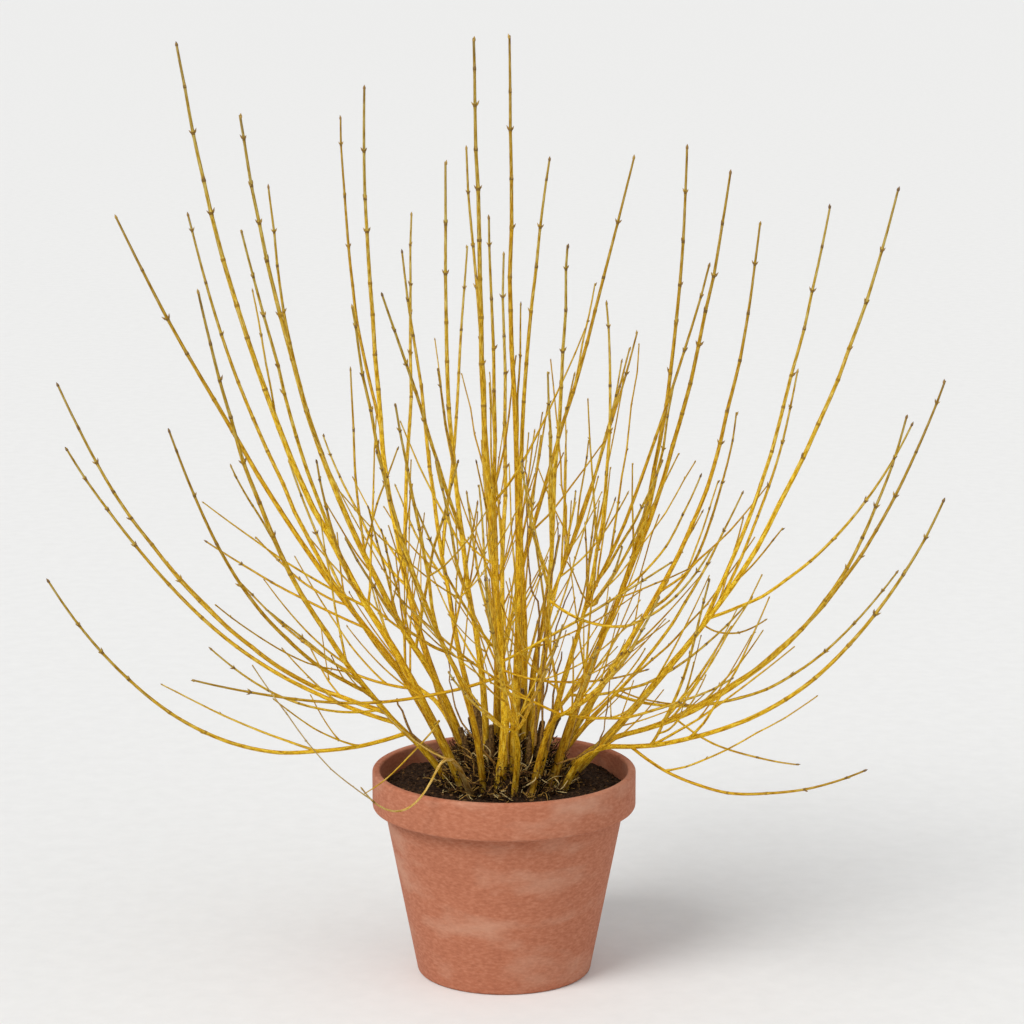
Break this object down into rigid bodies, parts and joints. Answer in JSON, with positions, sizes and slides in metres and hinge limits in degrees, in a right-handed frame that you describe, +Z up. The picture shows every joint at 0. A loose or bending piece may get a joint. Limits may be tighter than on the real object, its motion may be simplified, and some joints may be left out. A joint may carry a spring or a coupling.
{
  "type": "potted red osier dogwood",
  "caption": "Leafless potted dogwood of the yellow-stemmed form: whippy winter shoots fan up and out from a woody crown in a plain round clay pot that stands on its flat underside.",
  "frame": {"origin": "centre of the pot's flat underside, which stands on the ground", "axes": "+Z up along the pot's axis, -Y towards the viewer of the picture, +X to the viewer's right"},
  "size_m": [1.4908, 1.3424, 1.5249],
  "materials": {
    "clay": "matte fired clay",
    "soil": "rough potting soil",
    "crown_wood": "rough dark wood and litter",
    "stem_bark": "satin bark",
    "shoots": "satin young bark"
  },
  "bodies": {
    "root": {"pot": "clay", "soil": "soil", "crown": "crown_wood", "stem_left_low": "stem_bark", "spray_left_low": "shoots", "stem_left_lower": "stem_bark", "spray_left_lower": "shoots", "stem_left_main": "stem_bark", "spray_left_main": "shoots", "stem_left_inner": "stem_bark", "spray_left_inner": "shoots", "stem_left_back": "stem_bark", "spray_left_back": "shoots", "stem_left_front": "stem_bark", "spray_left_front": "shoots", "stem_inner_left_back": "stem_bark", "spray_inner_left_back": "shoots", "stem_inner_left_front": "stem_bark", "spray_inner_left_front": "shoots", "stem_centre": "stem_bark", "spray_centre": "shoots", "stem_centre_strong": "stem_bark", "spray_centre_strong": "shoots", "stem_centre_left": "stem_bark", "spray_centre_left": "shoots", "stem_centre_right": "stem_bark", "spray_centre_right": "shoots", "stem_centre_back": "stem_bark", "spray_centre_back": "shoots", "stem_inner_right_front": "stem_bark", "spray_inner_right_front": "shoots", "stem_right_leaning": "stem_bark", "spray_right_leaning": "shoots", "stem_right_front": "stem_bark", "spray_right_front": "shoots", "stem_right_main": "stem_bark", "spray_right_main": "shoots", "stem_right_back": "stem_bark", "spray_right_back": "shoots", "stem_right_outer": "stem_bark", "spray_right_outer": "shoots", "stem_right_low": "stem_bark", "spray_right_low": "shoots", "stem_right_lowest": "stem_bark", "spray_right_lowest": "shoots", "stem_right_inner_low": "stem_bark", "spray_right_inner_low": "shoots", "stem_back_low": "stem_bark", "spray_back_low": "shoots", "stem_back_left_low": "stem_bark", "spray_back_left_low": "shoots", "stem_back_right_low": "stem_bark", "spray_back_right_low": "shoots", "stem_front_low": "stem_bark", "spray_front_low": "shoots", "stem_front_loop": "stem_bark", "spray_front_loop": "shoots", "stem_front_right_low": "stem_bark", "spray_front_right_low": "shoots"}
  },
  "joints": []
}
